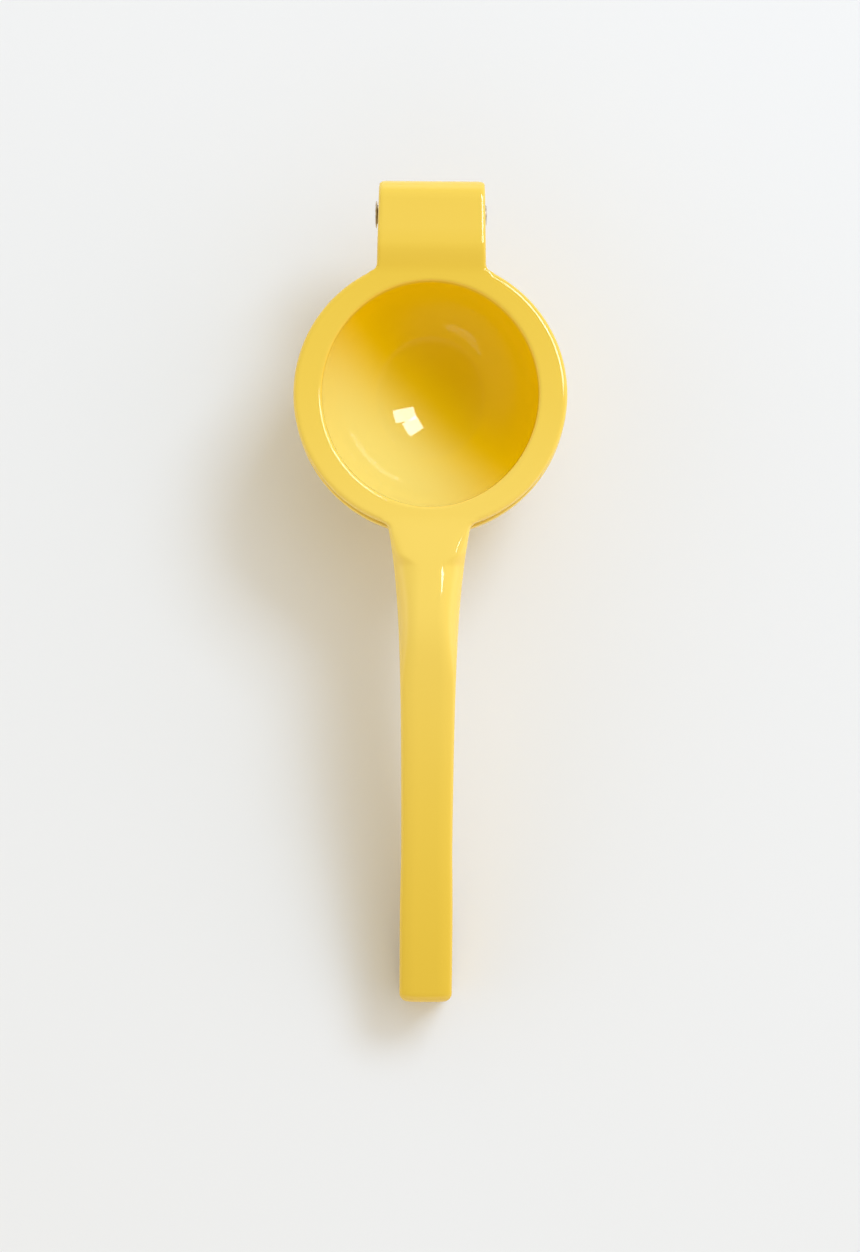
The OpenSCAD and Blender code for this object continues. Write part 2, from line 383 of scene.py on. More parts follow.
# %% Turn the cup
def stretched(r, t, z):
    pull = cup_draw / 2 / cup_r * (1 - blend(r, dome_r, rim_r - rim_round))
    return (r * math.cos(t), r * math.sin(t) * (1 + pull), z)


lip_round = 0.7
mouth_r = math.sqrt(cup_r**2 - lip_round**2)
dome_meets = math.degrees(math.asin((rim_under - rim_top) / dome_r))
hollow_meets = math.degrees(math.asin(-lip_round / cup_r))
press_section = (
    [(0, rim_top - dome_r)]
    + arc((0, rim_top), dome_r, -89, dome_meets)
    + [(33.5, rim_under)]  # one point in each flat keeps its faces narrow
    + arc((rim_r - 0.25, rim_under + 0.25), 0.25, -90, 0, 0.15)
    + arc((rim_r - rim_round, rim_top - rim_round), rim_round, 0, 90, 0.25)
    + [(33.6, rim_top), (32.2, rim_top)]
    + arc((mouth_r + lip_round, rim_top - lip_round), lip_round, 90, 180, 0.25)
    + arc((0, rim_top), cup_r, hollow_meets, -89)[1:]
    + [(0, rim_top - cup_r)]
)
press_cup = turned("press_cup", press_section, 256, stretched)
print("press cup faces:", len(press_cup.data.polygons))

# %% [markdown]
# ## The hinge tab
#
# Opposite the handle, the rim runs up a short ramp into a hood, and two ears hang from it round
# the pin. The hood is a bar lofted from the rim to its rounded back: a rectangle with rounded
# corners whose width, top and underside change on the way, wider where it flares into the rim.
# The ears are a thick disc. Then the room for the knuckle and the pin's bore are cut.

# %% A bar lofted along Y
def bar(name, stations):
    """Skins rounded rectangles; each station is (y, half width, low z, high z, edge radius)."""
    loops = []
    for y, half, low, high, edge in stations:
        r = min(edge, 0.49 * (high - low), 0.49 * half)
        right, left, top, bottom = half - r, r - half, high - r, low + r
        corners = ((right, top, 0), (left, top, 90), (left, bottom, 180), (right, bottom, 270))
        loop = []
        for cx, cz, start in corners:
            angles = [math.radians(start + 15 * i) for i in range(7)]
            loop += [(cx + r * math.cos(t), y, cz + r * math.sin(t)) for t in angles]
        loops.append(loop)
    return lofted(name, loops)


# %% The hood's width and height on the way
tab_corner, tab_flare, bar_edge = 1.5, 2.0, 0.9
hood_start, hood_middle = 30.5, 51.0  # inside the rim, and past the ramp
flare_y = math.sqrt((rim_r + tab_flare) ** 2 - (tab_w / 2 + tab_flare) ** 2)


def tab_half(y):
    return tab_w / 2 + (tab_end_w - tab_w) / 2 * (y - ramp_head) / (hood_back - ramp_head)


def hood_half(y):
    """Flares out to the rim at the front, is rounded off at the back."""
    over = max(0.0, y - (hood_back - tab_corner)) / tab_corner
    flare = fillet_out(flare_y - y, tab_flare)
    return tab_half(y) + flare - tab_corner * (1 - math.sqrt(max(0.0, 1 - over * over)))


def hood_over(y):
    over = max(0.0, y - (hood_back - hood_round)) / hood_round
    rise = (hood_top - skin_in - rim_top) * blend(y, ramp_foot - 0.8, ramp_head + 2.2)
    return rim_top + rise - hood_round * (1 - math.sqrt(max(0.0, 1 - over * over)))


def hood_under(y):
    """Level with the rim's underside, then down to the pin's axis, where the ears take over."""
    ears_start = pin_y - barrel_r
    return rim_under - (rim_under - pin_z) * blend(y, ears_start + 1.5, ears_start + 4)


corner_start = hood_back - tab_corner
ways = [hood_start + 0.25 * i for i in range(int((hood_middle - hood_start) / 0.25) + 1)]
for first, last, steps in ((hood_middle, corner_start, 9), (corner_start, hood_back, 6)):
    shares = [math.sin(math.pi / 2 * i / steps) for i in range(1, steps + 1)]
    ways += [first + (last - first) * share for share in shares]
hood = bar("hood", [(y, hood_half(y), hood_under(y), hood_over(y), bar_edge) for y in ways])

# %% Round its edges with a bevel where a form is turned
def bevelled(obj, width_mm, limit=40):
    edge = obj.modifiers.new("edge", "BEVEL")
    edge.width, edge.segments = width_mm * MM, 4
    edge.limit_method, edge.angle_limit = "ANGLE", math.radians(limit)
    settle(obj)
    return obj


# %% Tools for the pocket, the bore and the hollow
def round_pin(r, t, z):
    return (z, pin_y + r * math.cos(t), pin_z + r * math.sin(t))


def rod_x(name, radius, width, steps=96):
    """A round rod along X on the pin's axis."""
    half = width / 2
    return turned(name, [(0, -half), (radius, -half), (radius, half), (0, half)], steps, round_pin)


def block(name, low, high):
    xs, ys, zs = zip(low, high)
    corners = [(x, y, z) for x in xs for y in ys for z in zs]
    sides = [(0, 1, 3, 2), (4, 6, 7, 5), (0, 4, 5, 1), (2, 3, 7, 6), (0, 2, 6, 4), (1, 5, 7, 3)]
    return piece_from(name, corners, sides)


bore_r, through = 2.55, 60  # the second is longer than any piece is wide
pocket_w = knuckle_w + 0.8
open_stop, stop_spare = 118, 2
neck_low = knuckle_r - 0.8
lip_angle = open_stop + stop_spare - 180 + math.degrees(math.asin(neck_low / pocket_r))
lip_z = pin_z + pocket_r * math.sin(math.radians(lip_angle))
reach = barrel_r + 1
cup_void = turned(
    "cup_void",
    [(0, rim_top + 3), (mouth_r + lip_round, rim_top + 3)]
    + arc((mouth_r + lip_round, rim_top - lip_round), lip_round, 90, 180, 0.25)
    + arc((0, rim_top), cup_r, hollow_meets, -89)[1:]
    + [(0, rim_top - cup_r)],
    256,
    stretched,
)
ears = bevelled(rod_x("ears", barrel_r, tab_end_w + 0.3, 128), 0.9)
pocket_corner = (-pocket_w / 2, pin_y - reach, pin_z - reach)
for part in (hood, ears):
    cut(
        part,
        rod_x("pocket_round", pocket_r, pocket_w),
        block("pocket_below", pocket_corner, (pocket_w / 2, pin_y + reach, lip_z)),
        block("pocket_front", pocket_corner, (pocket_w / 2, pin_y, rim_under)),
        rod_x("ear_bores", bore_r, through),
    )
cut(hood, cup_void)

# %% [markdown]
# ## The swell at the knee
#
# Past the cup, the back of the upper handle climbs a little before it falls, and its flat middle
# narrows to a tongue with a sloping flank on each side. The heel of the hand presses just past
# it, so the metal is at its thickest there. Stations of the loft could hold it, but then the
# crease would follow them. As a height over the place it runs freely, and it fades into the
# construction's line.

# %% The swell at the knee
swell_start, crest_u, swell_end = 33.0, 57.5, 110.0
climb_slope, early_slope, early_end, crest_run = 0.068, 0.034, 44.0, 12.0
side_reach = 60.0, 80.0  # over this length the rise spreads out to the side edges
tongue_w, tongue_end_w, tongue_narrows = 19.0, 7.0, (41.0, 46.0)
flank_slope, flanks_start, flanks_end = 0.36, (38.0, 42.0), (54.0, 76.0)


def soft_past(d, run):
    """Grows like d past zero and is nil before it, without a corner."""
    return run * math.log(1 + math.exp(min(40.0, d / run)))


def climb(u, start, end):
    """An even climb from start, levelling out at end, for a slope of 1."""
    t = min(1.0, max(0.0, (u - start) / (end - start)))
    return (end - start) * (t - t**7 / 7)


def knee_rise(u):
    """How far the back stands over the construction's line, which it meets again at the waist."""
    crest = climb_slope * climb(u, swell_start, crest_u)
    crest += early_slope * climb(u, swell_start, early_end)
    level = math.exp(-((max(0.0, u - crest_u) / crest_run) ** 2))
    return crest * (1 - blend(u, crest_u, swell_end)) + (rim_top - press_over(u)) * level


def knee_swell(x, y, z):
    """The rise in the middle less the fall of the flanks, and nil on the facing side."""
    u = -y
    if u < swell_start - 2:
        return 0.0
    across = 1 - min(1.0, abs(x) / half_w(u)) ** 6 * (1 - blend(u, *side_reach))
    flat = tongue_end_w / 2 + (tongue_w - tongue_end_w) / 2 * (1 - blend(u, *tongue_narrows))
    flank = flank_slope * soft_past(abs(x) - flat, 0.5) * blend(u, *flanks_start)
    flank *= 1 - blend(u, *flanks_end)
    return (knee_rise(u) * across - flank) * blend(z, press_under(u), press_over(u) - 0.3)


press_arm = cast("press_arm_enamelled", [press_cup, press_handle, hood, ears], knee_swell)

# %% [markdown]
# ## The bowl
#
# The lower casting starts the same way: one section of even wall, flat under the middle where it
# stands. On the handle's side its edge stands out a little, as a landing for the rim. Its floor
# is drilled with two rings of drain holes, cut before the casting is made, so that the enamel
# rounds their edges too.

# %% Turn the bowl and drill it
edge_out, drain_r, ring_r = 0.8, 1.6, 5
edge_angle = math.degrees(math.asin((bowl_top - bowl_centre) / bowl_r))
edge_in_angle = math.degrees(math.asin((bowl_top - bowl_centre) / bowl_in_r))
foot_angle = -math.degrees(math.acos(foot_r / bowl_r))
floor_angle = -math.degrees(math.asin((bowl_centre - floor_z) / bowl_in_r))
bowl_section = (
    [(0, 0), (6, 0), (foot_r - 0.5, 0)]
    + arc((0, bowl_centre), bowl_r - skin_in, foot_angle, edge_angle - 0.4)
    + [(bowl_r - 0.45, bowl_top), (bowl_in_r + 0.7, bowl_top)]
    + arc((0, bowl_centre), bowl_in_r, edge_in_angle - 1.2, floor_angle)
    + [(6, floor_z), (0, floor_z)]
)


def bowl_place(r, t, z):
    """Round Z, with the upper edge pushed out towards the handle."""
    out = edge_out * max(0.0, -math.sin(t)) * blend(z, 26, 36.5)
    return (r * math.cos(t), r * math.sin(t) - out, z)


bowl = turned("bowl", bowl_section, 256, bowl_place)
drains = []
for ring in (1, 2):
    for i in range(6 * ring):
        a = math.radians(60 * (i + 1) / ring)
        x, y = ring_r * ring * math.cos(a), ring_r * ring * math.sin(a)
        drains.append(
            turned(
                f"drain_{ring}_{i}",
                [(0, -1), (drain_r, -1), (drain_r, 6), (0, 6)],
                32,
                lambda r, t, z, x=x, y=y: (x + r * math.cos(t), y + r * math.sin(t), z),
            )
        )
cut(bowl, *drains)
print("bowl faces after drilling:", len(bowl.data.polygons))

# %% [markdown]
# ## The neck and the knuckle
#
# Behind the bowl a short neck narrows to the knuckle that the hood turns round. A sloping web
# under it takes the load of a squeeze. Neck and web are one bar, and what would stand out
# inside the bowl is cut away.

# %% Make the neck and the knuckle
neck_top = bowl_top - seat_gap
neck_shoulder = pin_y - barrel_r - 0.8
neck_flare, web_drop = 3, 5.5


def neck_half(y):
    return knuckle_w / 2 + neck_flare * (1 - blend(y, rim_r - 1.5, neck_shoulder + 0.6))


def neck_under(y):
    """Level under the knuckle, then down a slope to the bowl's side."""
    slope_end = neck_shoulder - 0.4
    share = min(1.0, max(0.0, (slope_end - y) / (slope_end - bowl_in_r)))
    return pin_z - neck_low - web_drop * share


neck_ways = [31.5 + 0.5 * i for i in range(36)]  # from inside the bowl's wall into the knuckle
neck = bar("neck", [(y, neck_half(y), neck_under(y), neck_top, bar_edge) for y in neck_ways])
knuckle = bevelled(rod_x("knuckle", knuckle_r, knuckle_w, 128), 0.5)
bowl_void = turned(
    "bowl_void",
    [(0, bowl_centre + 20), (bowl_in_r, bowl_centre + 20)]
    + arc((0, bowl_centre), bowl_in_r, 0, -89)
    + [(0, bowl_centre - bowl_in_r)],
    192,
)
cut(neck, rod_x("neck_bore", bore_r, through), bowl_void)
cut(knuckle, rod_x("knuckle_bore", bore_r, through))
bowl_arm = cast("bowl_arm_enamelled", [bowl, bowl_handle, neck, knuckle])

# %% [markdown]
# ## The rivet
#
# A plain steel rivet: a thin flat head on one side, the shank, and on the other side the end
# that was hammered over. It is turned from one section, with the head slightly domed, the edges
# broken, and a ring left by the tool in the hammered end. Both ends are given as points of
# radius and height over the ear's face.

# %% Turn the rivet along X
shank_r, head_r, tail_r, head_gap = 2.5, 3.55, 2.7, 0.4
head_face = tab_half(pin_y - head_r) + head_gap
tail_face = tab_half(pin_y - tail_r)
head_side = [
    (0, 0.5), (1.6, 0.495), (2.9, 0.44), (3.4, 0.33), (head_r, 0.18), (3.5, 0), (2.62, 0),
    (shank_r, -0.12),
]
tail_side = [
    (shank_r, -0.05), (2.62, 0), (tail_r, 0.14), (2.62, 0.34), (2.3, 0.48), (1.9, 0.5),
    (1.5, 0.4), (1.1, 0.3), (0, 0.28),
]
rivet_section = [(r, -head_face - out) for r, out in head_side]
rivet_section += [(r, tail_face + out) for r, out in tail_side]
rivet = turned("rivet", rivet_section, 96, round_pin)
for face in rivet.data.polygons:
    face.use_smooth = True
bevelled(rivet, 0.05, 30)
print("rivet from x =", round(-head_face - 0.5, 2), "to", round(tail_face + 0.5, 2))

# %% [markdown]
# ## Shared surface effects
#
# Baked enamel is glossy but never perfect. It flows before it sets, which leaves shallow waves a
# few millimetres long, and a few grains of dust stay in it. Steel that was hammered shows fine
# scratches. Hollows and inner corners get a deeper yellow as painted shade, and another group
# paints the light and shade of the window into the yellow. Each effect is a node group that gives
# out heights and masks, and the shader with its colours stays outside.

# %% Small helpers for node trees
def add(tree, kind, x=0, y=0, **settings):
    node = tree.nodes.new(kind)
    node.location = (x, y)
    for key, value in settings.items():
        setattr(node, key, value)
    return node


def math_node(tree, operation, a, b, x=0, y=0):
    """A Math node whose inputs are sockets or numbers."""
    node = add(tree, "ShaderNodeMath", x, y, operation=operation)
    for i, value in enumerate((a, b)):
        if hasattr(value, "links"):
            tree.links.new(value, node.inputs[i])
        else:
            node.inputs[i].default_value = value
    return node.outputs[0]


range_sockets = "From Min", "From Max", "To Min", "To Max"


def mapped(tree, value, low, high, to_low, to_high, x=0, y=0):
    node = add(tree, "ShaderNodeMapRange", x, y, clamp=True)
    tree.links.new(value, node.inputs["Value"])
    for key, number in zip(range_sockets, (low, high, to_low, to_high)):
        node.inputs[key].default_value = number
    return node.outputs["Result"]


# %% The enamel's skin as a group
def enamel_skin_group():
    group = bpy.data.node_groups.new("enamel_skin", "ShaderNodeTree")
    face = group.interface
    for name, value in (("Wave Length mm", 3.5), ("Wave Height", 0.5), ("Grain Share", 0.5)):
        face.new_socket(name, in_out="INPUT", socket_type="NodeSocketFloat").default_value = value
    for name in ("Height", "Hollow Shade", "Grain", "Drift"):
        face.new_socket(name, in_out="OUTPUT", socket_type="NodeSocketFloat")
    start, end = add(group, "NodeGroupInput", -900), add(group, "NodeGroupOutput", 700)
    link = group.links.new
    place = add(group, "ShaderNodeTexCoord", -900, -200).outputs["Object"]

    # Waves: soft noise whose scale follows the wave length
    per_metre = math_node(group, "DIVIDE", 1000.0, start.outputs["Wave Length mm"], -700, 100)
    waves = add(group, "ShaderNodeTexNoise", -500, 150, noise_dimensions="3D")
    waves.inputs["Detail"].default_value = 1.5
    waves.inputs["Roughness"].default_value = 0.4
    link(place, waves.inputs["Vector"])
    link(per_metre, waves.inputs["Scale"])
    wave_height = start.outputs["Wave Height"]
    swell = math_node(group, "MULTIPLY", waves.outputs["Fac"], wave_height, -250, 150)

    # Grains of dust: the cores of a few cells, all others are left out
    cells = add(group, "ShaderNodeTexVoronoi", -500, -150, feature="F1")
    cells.inputs["Scale"].default_value = 150.0
    link(place, cells.inputs["Vector"])
    core = mapped(group, cells.outputs["Distance"], 0.03, 0.055, 1.0, 0.0, -250, -100)
    pick = add(group, "ShaderNodeSeparateColor", -250, -300)
    link(cells.outputs["Color"], pick.inputs["Color"])
    share = math_node(group, "MULTIPLY", start.outputs["Grain Share"], 0.05, -250, -450)
    few = math_node(group, "LESS_THAN", pick.outputs["Red"], share, -50, -300)
    grain = math_node(group, "MULTIPLY", core, few, 100, -150)
    bumps = math_node(group, "MULTIPLY", grain, 0.3, 250, -50)
    link(math_node(group, "ADD", swell, bumps, 400, 100), end.inputs["Height"])
    link(grain, end.inputs["Grain"])

    # Hollows and inner corners, from the shape itself, for painted shade
    shape = add(group, "ShaderNodeNewGeometry", -500, -750).outputs["Pointiness"]
    link(mapped(group, shape, 0.47, 0.40, 0.0, 1.0, -250, -800), end.inputs["Hollow Shade"])

    # Slow drift of tone over the whole piece
    drift = add(group, "ShaderNodeTexNoise", -500, -1000)
    drift.inputs["Scale"].default_value = 22.0
    link(place, drift.inputs["Vector"])
    link(mapped(group, drift.outputs["Fac"], 0.3, 0.7, 0.0, 1.0, -250, -1000), end.inputs["Drift"])
    return group


enamel_skin = enamel_skin_group()


# %% Painted light and shade in the yellow, as a group
def painted_light_shade_group():
    """Painted light and shade, as masks over the yellow.

    The first mask is painted shade, 0 where the yellow is light and 1 where it is deep amber: in
    the hollow it is the wall that the rim shades from the window, outside the hollow the arm
    towards the tip and the hinge. The second is painted light on the side of the hollow that the
    window lights, and the third is the painted shade along the arm, outside the hollow.
    the arm, outside the hollow, and Pale marks the drained side of the hollow.
    """
    group = bpy.data.node_groups.new("painted_light_shade", "ShaderNodeTree")
    face = group.interface
    defaults = (("Cup Radius", cup_r * MM), ("Rim Height", rim_top * MM), ("Shade Angle", 0.8))
    for name, value in defaults:
        face.new_socket(name, in_out="INPUT", socket_type="NodeSocketFloat").default_value = value
    for name in ("Deep Shade", "Lit Side", "Arm Shade"):
        face.new_socket(name, in_out="OUTPUT", socket_type="NodeSocketFloat")
    start, end = add(group, "NodeGroupInput", -1100), add(group, "NodeGroupOutput", 700)
    link = group.links.new
    place = add(group, "ShaderNodeTexCoord", -1100, -300).outputs["Object"]
    part = add(group, "ShaderNodeSeparateXYZ", -900, -300)
    link(place, part.inputs["Vector"])
    x, y, z = (part.outputs[axis] for axis in "XYZ")

    # Along the arm, painted shade: none at the knee, deeper towards the tip and on the rim by the
    # hinge, less again on the hood past the ramp
    to_tip = mapped(group, y, -0.060, -0.160, 0.0, 0.55, -600, 300)
    to_hinge = mapped(group, y, -0.036, 0.034, 0.0, 0.48, -600, 100)
    past_ramp = mapped(group, y, 0.034, 0.044, 0.0, -0.27, -600, -60)
    both_ways = math_node(group, "ADD", to_tip, to_hinge, -400, 250)
    along = math_node(group, "ADD", both_ways, past_ramp, -300, 150)

    # Inside the hollow, painted shade: from the side that the window lights to the wall that the
    # rim shades from it
    turn_x = math_node(group, "COSINE", start.outputs["Shade Angle"], 0.0, -900, 0)
    turn_y = math_node(group, "SINE", start.outputs["Shade Angle"], 0.0, -900, -120)
    lean = math_node(
        group, "ADD",
        math_node(group, "MULTIPLY", x, turn_x, -700, 0),
        math_node(group, "MULTIPLY", y, turn_y, -700, -120),
        -500, -60,
    )
    across = add(group, "ShaderNodeMapRange", -300, -60, clamp=True)
    across.interpolation_type = "SMOOTHSTEP"
    link(lean, across.inputs["Value"])
    for key, number in zip(range_sockets, (-0.023, 0.003, 0.0, 1.0)):
        across.inputs[key].default_value = number

    # The hollow itself: near the middle of its mouth, lower than the rim and inside the dome
    below = math_node(group, "SUBTRACT", start.outputs["Rim Height"], z, -900, -600)
    from_middle = add(group, "ShaderNodeCombineXYZ", -700, -450)
    link(x, from_middle.inputs["X"])
    link(y, from_middle.inputs["Y"])
    link(below, from_middle.inputs["Z"])
    far = add(group, "ShaderNodeVectorMath", -500, -450, operation="LENGTH")
    link(from_middle.outputs["Vector"], far.inputs[0])
    radius = start.outputs["Cup Radius"]
    within = math_node(group, "SUBTRACT", radius, far.outputs["Value"], -300, -450)
    inside = math_node(
        group, "MULTIPLY",
        mapped(group, within, -0.0020, -0.0015, 0.0, 1.0, -100, -450),
        mapped(group, below, 0.0008, 0.0030, 0.0, 1.0, -100, -600),
        100, -500,
    )
    both = add(group, "ShaderNodeMix", 350, 0, data_type="FLOAT")
    link(inside, both.inputs[0])
    link(along, both.inputs[2])
    link(across.outputs["Result"], both.inputs[3])
    link(both.outputs[0], end.inputs["Deep Shade"])
    # Painted shade along the arm, outside the hollow
    outside = math_node(group, "SUBTRACT", 1.0, inside, 350, -400)
    link(math_node(group, "MULTIPLY", outside, along, 500, -400), end.inputs["Arm Shade"])
    # Painted light on the side of the hollow that the window lights
    window_lit = math_node(group, "SUBTRACT", 1.0, across.outputs["Result"], 350, -250)
    link(math_node(group, "MULTIPLY", inside, window_lit, 500, -250), end.inputs["Lit Side"])
    return group


painted_light_shade = painted_light_shade_group()
for group in (enamel_skin, painted_light_shade):
    sockets = group.interface.items_tree
    print(group.name, "gives out", [socket.name for socket in sockets if socket.in_out == "OUTPUT"])

# %% The scratches of worked steel as a group
def worked_steel_group():
    group = bpy.data.node_groups.new("worked_steel", "ShaderNodeTree")
    face = group.interface
    scale = face.new_socket("Scratch Scale", in_out="INPUT", socket_type="NodeSocketFloat")
    scale.default_value = 900.0
    for name in ("Height", "Stain"):
        face.new_socket(name, in_out="OUTPUT", socket_type="NodeSocketFloat")
    start, end = add(group, "NodeGroupInput", -700), add(group, "NodeGroupOutput", 500)
    place = add(group, "ShaderNodeTexCoord", -700, -200).outputs["Object"]
    squeeze = add(group, "ShaderNodeMapping", -500, -100)
    squeeze.inputs["Scale"].default_value = (1.0, 0.15, 1.0)
    group.links.new(place, squeeze.inputs["Vector"])
    marks = add(group, "ShaderNodeTexNoise", -250, 100)
    marks.inputs["Detail"].default_value = 6.0
    group.links.new(squeeze.outputs["Vector"], marks.inputs["Vector"])
    group.links.new(start.outputs["Scratch Scale"], marks.inputs["Scale"])
    group.links.new(marks.outputs["Fac"], end.inputs["Height"])
    stain = add(group, "ShaderNodeTexNoise", -250, -200)
    stain.inputs["Scale"].default_value = 500.0
    group.links.new(place, stain.inputs["Vector"])
    pores = mapped(group, stain.outputs["Fac"], 0.45, 0.65, 0.0, 1.0, 0, -200)
    group.links.new(pores, end.inputs["Stain"])
    return group


worked_steel = worked_steel_group()

# %% [markdown]
# ## The yellow enamel
#
# The enamel is a full, warm yellow, coloured right through, with one smooth and glossy surface of
# its own. So one Principled shader without a coat layer does it: the base carries the colour and
# the low roughness gives the sharp, white reflections. A clear coat over a rougher base would
# suit car paint, which has two layers. The base colour is mixed from a few yellows by the groups'
# masks: the yellow's own tone, drifting at random; a deep amber and a darker yellow painted as
# shade in the hollow and along the arm; a pale yellow painted as light on the lit side of the
# hollow; a deeper yellow painted as shade in hollows and inner corners; and the dust in it.

# %% Build the enamel
own_yellows = (0.885, 0.640, 0.126, 1), (0.875, 0.628, 0.118, 1)
# Painted shade: deep amber for the hollow's shaded wall and the arm towards its ends
shade_yellows = (0.885, 0.575, 0.001, 1), (0.875, 0.566, 0.001, 1)
# Painted shade along the arm, outside the hollow
arm_shade_yellow = (0.710, 0.475, 0.057, 1)
# Painted light on the side of the hollow that the window lights
lit_yellow = (0.875, 0.712, 0.180, 1)
# Painted shade in hollows and inner corners
hollow_shade_yellow = (0.84, 0.54, 0.030, 1)
dust_brown = (0.42, 0.22, 0.02, 1)


def mix_colour(tree, mask, a, b, x, y):
    node = add(tree, "ShaderNodeMix", x, y, data_type="RGBA")
    for socket, value in ((node.inputs[0], mask), (node.inputs[6], a), (node.inputs[7], b)):
        if hasattr(value, "links"):
            tree.links.new(value, socket)
        else:
            socket.default_value = value
    return node.outputs[2]


def yellow_enamel():
    material = bpy.data.materials.new("yellow_enamel")
    material.use_nodes = True
    tree = material.node_tree
    shader = tree.nodes["Principled BSDF"]
    skin = add(tree, "ShaderNodeGroup", -900, 0, node_tree=enamel_skin)
    skin.inputs["Wave Length mm"].default_value = 4.5
    skin.inputs["Wave Height"].default_value = 0.6
    skin.inputs["Grain Share"].default_value = 0.12
    shade_masks = add(tree, "ShaderNodeGroup", -1100, 400, node_tree=painted_light_shade)
    own_tone = mix_colour(tree, skin.outputs["Drift"], *own_yellows, -800, 500)
    shade_tone = mix_colour(tree, skin.outputs["Drift"], *shade_yellows, -800, 300)
    # Painted shade: deep amber where the first light and shade mask says, then a darker yellow
    # along the arm
    body = mix_colour(tree, shade_masks.outputs["Deep Shade"], own_tone, shade_tone, -600, 400)
    arm_shaded = mix_colour(tree, shade_masks.outputs["Arm Shade"], body, arm_shade_yellow, -550, 380)
    # Painted light on the lit side of the hollow, then painted shade in hollows and inner corners
    lit_tone = mix_colour(tree, shade_masks.outputs["Lit Side"], arm_shaded, lit_yellow, -500, 350)
    hollow_shaded = mix_colour(tree, skin.outputs["Hollow Shade"], lit_tone, hollow_shade_yellow, -400, 300)
    grained = mix_colour(tree, skin.outputs["Grain"], hollow_shaded, dust_brown, -200, 300)
    tree.links.new(grained, shader.inputs["Base Color"])
    rough = mapped(tree, skin.outputs["Drift"], 0.0, 1.0, 0.030, 0.045, -400, 0)
    tree.links.new(rough, shader.inputs["Roughness"])
    bump = add(tree, "ShaderNodeBump", -300, -300)
    bump.inputs["Strength"].default_value = 0.25
    bump.inputs["Distance"].default_value = 0.00005
    tree.links.new(skin.outputs["Height"], bump.inputs["Height"])
    tree.links.new(bump.outputs["Normal"], shader.inputs["Normal"])
    shader.inputs["IOR"].default_value = 1.5
    return material


enamel = yellow_enamel()

# %% [markdown]
# ## The rivet's steel
#
# The rivet's ends are the only bare metal: dull steel with brown in its pores.

# %% Build the steel
bare_steel, brown_steel = (0.80, 0.75, 0.67, 1), (0.55, 0.47, 0.37, 1)


def rivet_steel():
    material = bpy.data.materials.new("rivet_steel")
    material.use_nodes = True
    tree = material.node_tree
    shader = tree.nodes["Principled BSDF"]
    worn = add(tree, "ShaderNodeGroup", -700, 0, node_tree=worked_steel)
    worn.inputs["Scratch Scale"].default_value = 1400.0
    colour = mix_colour(tree, worn.outputs["Stain"], bare_steel, brown_steel, -400, 200)
    tree.links.new(colour, shader.inputs["Base Color"])
    rough = mapped(tree, worn.outputs["Stain"], 0, 1, 0.28, 0.5, -400, -50)
    tree.links.new(rough, shader.inputs["Roughness"])
    bump = add(tree, "ShaderNodeBump", -300, -300)
    bump.inputs["Strength"].default_value = 0.3
    bump.inputs["Distance"].default_value = 0.00004
    tree.links.new(worn.outputs["Height"], bump.inputs["Height"])
    tree.links.new(bump.outputs["Normal"], shader.inputs["Normal"])
    shader.inputs["Metallic"].default_value = 1.0
    return material


steel = rivet_steel()

# %% [markdown]
# ## Dress the construction
#
# Each casting stands for its construction node and moves with that node's body. The rivet moves
# with the upper arm, as it is tight in the ears and turns in the knuckle.

# %% Hand the pieces over
for piece, node, body, slot, material in (
    (press_arm, "press_arm", "upper_arm", "enamel", enamel),
    (bowl_arm, "bowl_arm", "lower_arm", "enamel", enamel),
    (rivet, "hinge_pin", "upper_arm", "steel", steel),
):
    piece.data.materials.clear()
    piece.data.materials.append(material)
    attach(piece, body)
    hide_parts(node)
    low = [min(v.co[i] for v in piece.data.vertices) for i in range(3)]
    high = [max(v.co[i] for v in piece.data.vertices) for i in range(3)]
    spans = [f"{start / MM:.2f} to {stop / MM:.2f}" for start, stop in zip(low, high)]
    print(piece.name, "spans x, y and z", spans)

# %% [markdown]
# ## The table
#
# The squeezer lies on a matt white table. A plane well beyond the view is enough.

# %% Lay the table
half = 3000
corners = [(-half, -half, 0), (half, -half, 0), (half, half, 0), (-half, half, 0)]
table = piece_from("table", corners, [(0, 1, 2, 3)])
table_paint = bpy.data.materials.new("table_paint")
table_paint.use_nodes = True
table_shader = table_paint.node_tree.nodes["Principled BSDF"]
table_shader.inputs["Base Color"].default_value = (0.80, 0.80, 0.79, 1)
table_shader.inputs["Roughness"].default_value = 0.9
table_shader.inputs["Specular IOR Level"].default_value = 0.1
table.data.materials.append(table_paint)

# %% [markdown]
# ## Light
#
# A window high on the right, behind the hinge, throws the soft shadow and leaves a small white
# shape in the cup. One lamp could do both, but then the shape's size would set how soft the
# shadow is. So one broad lamp gives the light and stays out of the gloss, and two small panes
# are seen in the gloss alone. The pale room gives the rest: a bright band round the horizon, as
# from walls, and a soft patch near the window. In the gloss its upper part is dim, as a ceiling
# is, so that flat faces keep their full yellow.

# %% Hang the window
def lamp(name, at, towards, size, power, colour=(1, 1, 1)):
    data = bpy.data.lights.new(name, "AREA")
    data.shape, data.size, data.size_y = "RECTANGLE", size[0], size[1]
    data.energy, data.color = power, colour
    obj = bpy.data.objects.new(name, data)
    obj.location = at
    obj.rotation_euler = (Vector(towards) - Vector(at)).to_track_quat("-Z", "Y").to_euler()
    bpy.context.scene.collection.objects.link(obj)
    return obj


def from_zenith(angle, azimuth):
    """A direction, from degrees off the zenith and round from +X."""
    a, b = math.radians(angle), math.radians(azimuth)
    return Vector((math.sin(a) * math.cos(b), math.sin(a) * math.sin(b), math.cos(a)))


